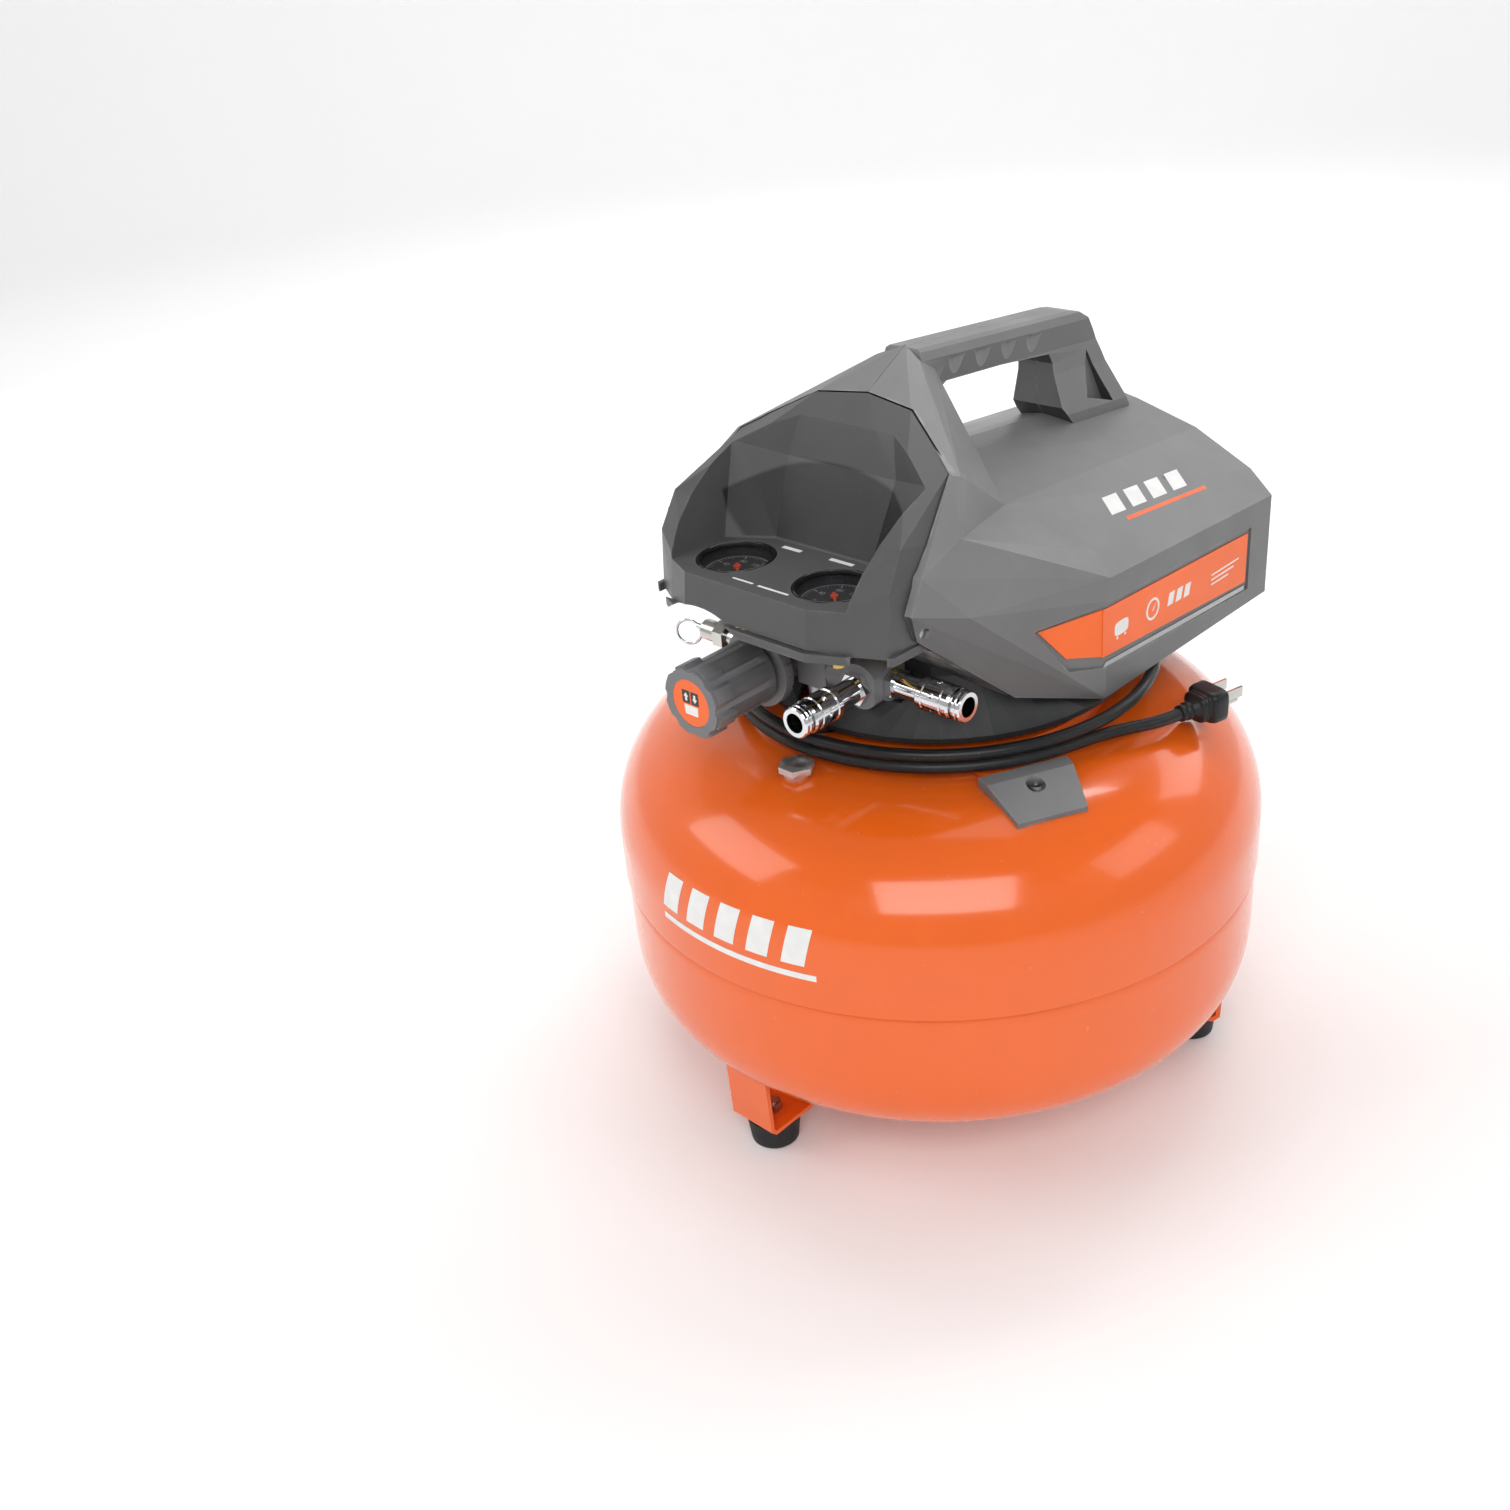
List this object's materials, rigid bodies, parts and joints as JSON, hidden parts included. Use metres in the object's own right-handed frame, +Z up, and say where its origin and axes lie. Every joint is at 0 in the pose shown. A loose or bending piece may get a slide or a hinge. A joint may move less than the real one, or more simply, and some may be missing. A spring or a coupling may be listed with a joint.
{
  "type": "pancake air compressor",
  "caption": "Portable electric air compressor: a shrouded pump with handle, gauges, regulator knob and quick couplers on a flat round tank with feet.",
  "frame": {"origin": "on the floor, under the axis of the round tank", "axes": "+Z up along the tank axis; -Y to the front, where the gauges, knob and couplers are; +X to the object's right side"},
  "size_m": [0.4111, 0.4112, 0.4739],
  "materials": {
    "tank_paint": "gloss orange powder coat",
    "rubber": "moulded black rubber",
    "zinc": "zinc-plated steel",
    "nickel": "nickel plate",
    "chrome": "polished chrome plate",
    "brass": "turned brass",
    "copper": "drawn copper tube",
    "shroud_grey": "textured grey plastic",
    "console_grey": "textured charcoal plastic",
    "skirt_black": "textured near-black plastic",
    "label_orange": "printed orange film",
    "fitting_grey": "dark grey enamel on a die casting",
    "knob_grey": "grey plastic",
    "black_plastic": "black plastic",
    "dial_face": "printed dial",
    "needle_red": "painted pointer",
    "lens": "clear window",
    "switch_red": "moulded red plastic",
    "aluminium": "as-cast aluminium",
    "laminations": "stacked steel sheet",
    "rotor_copper": "wound copper and steel",
    "seal": "filled sealing plastic",
    "can": "drawn can",
    "cord_black": "flexible black jacket"
  },
  "bodies": {
    "compressor": {"tank_top_shell": "tank_paint", "tank_bottom_shell": "tank_paint", "leg_front": "tank_paint", "leg_right": "tank_paint", "leg_left": "tank_paint", "rubber_feet": "rubber", "foot_bolts": "zinc", "tank_hex_plug": "nickel", "tank_outlet_bung": "nickel", "riser_pipe": "zinc", "check_valve": "brass", "discharge_tube": "copper", "drain_valve_body": "brass", "pump_saddle": "tank_paint", "shroud_right": "shroud_grey", "shroud_left": "shroud_grey", "console": "console_grey", "shroud_skirt": "skirt_black", "wedge_feet": "shroud_grey", "label_right": "label_orange", "label_left": "label_orange", "shroud_screws": "zinc", "manifold": "fitting_grey", "regulator_body": "fitting_grey", "regulator_collar": "knob_grey", "coupler_front_body": "chrome", "coupler_side_body": "chrome", "safety_valve_body": "nickel", "gauge_cases": "black_plastic", "gauge_dials": "dial_face", "gauge_lenses": "lens", "gauge_tubes": "brass", "switch_panel": "black_plastic", "pressure_switch": "black_plastic", "motor_stator": "laminations", "motor_bearings": "zinc", "crankcase": "aluminium", "pump_cylinder": "aluminium", "cylinder_head": "aluminium", "head_bolts": "zinc", "intake_filter": "black_plastic", "capacitor": "can", "cord_gland": "cord_black", "power_cord": "cord_black", "power_plug": "cord_black", "plug_blades": "brass"},
    "knob": {"regulator_knob": "knob_grey", "knob_label": "label_orange"},
    "front_sleeve": {"coupler_front_sleeve": "chrome"},
    "side_sleeve": {"coupler_side_sleeve": "chrome"},
    "valve_stem": {"safety_valve_stem": "chrome"},
    "drain_knob": {"drain_valve_knob": "brass"},
    "lever": {"switch_lever": "switch_red"},
    "tank_needle": {"tank_gauge_needle": "needle_red"},
    "outlet_needle": {"outlet_gauge_needle": "needle_red"},
    "rotor": {"motor_rotor": "rotor_copper", "crankshaft": "zinc", "cooling_fan": "black_plastic"},
    "piston_rod": {"connecting_rod": "aluminium", "piston": "seal"}
  },
  "joints": [
    {"name": "knob_turn", "type": "hinge", "parent": "compressor", "child": "knob", "pos_m": [-0.035, -0.145, 0.303], "axis": [0, -1, 0], "range_deg": [0, 1080]},
    {"name": "front_sleeve_pull", "type": "slide", "parent": "compressor", "child": "front_sleeve", "axis": [0, 1, 0], "range_m": [0, 0.005], "stiffness_N_per_m": 800},
    {"name": "side_sleeve_pull", "type": "slide", "parent": "compressor", "child": "side_sleeve", "axis": [-1, 0, 0], "range_m": [0, 0.005], "stiffness_N_per_m": 800},
    {"name": "valve_pull", "type": "slide", "parent": "compressor", "child": "valve_stem", "axis": [-1, 0, 0], "range_m": [0, 0.003], "stiffness_N_per_m": 1500},
    {"name": "drain_turn", "type": "hinge", "parent": "compressor", "child": "drain_knob", "pos_m": [0, 0, 0.0135], "axis": [0, 0, -1], "range_deg": [0, 720]},
    {"name": "switch_tilt", "type": "hinge", "parent": "compressor", "child": "lever", "pos_m": [-0.05, 0.174, 0.318], "axis": [1, 0, 0], "range_deg": [0, 24]},
    {"name": "tank_needle_turn", "type": "hinge", "parent": "compressor", "child": "tank_needle", "pos_m": [-0.0369, -0.123, 0.369], "axis": [0, 0, -1], "range_deg": [0, 270]},
    {"name": "outlet_needle_turn", "type": "hinge", "parent": "compressor", "child": "outlet_needle", "pos_m": [0.0369, -0.123, 0.369], "axis": [0, 0, -1], "range_deg": [0, 270]},
    {"name": "motor_spin", "type": "hinge", "parent": "compressor", "child": "rotor", "pos_m": [0.02, 0.1, 0.318], "axis": [0, 1, 0], "continuous": true},
    {"name": "piston_stroke", "type": "slide", "parent": "compressor", "child": "piston_rod", "axis": [1, 0, 0], "range_m": [0, 0.012]}
  ]
}
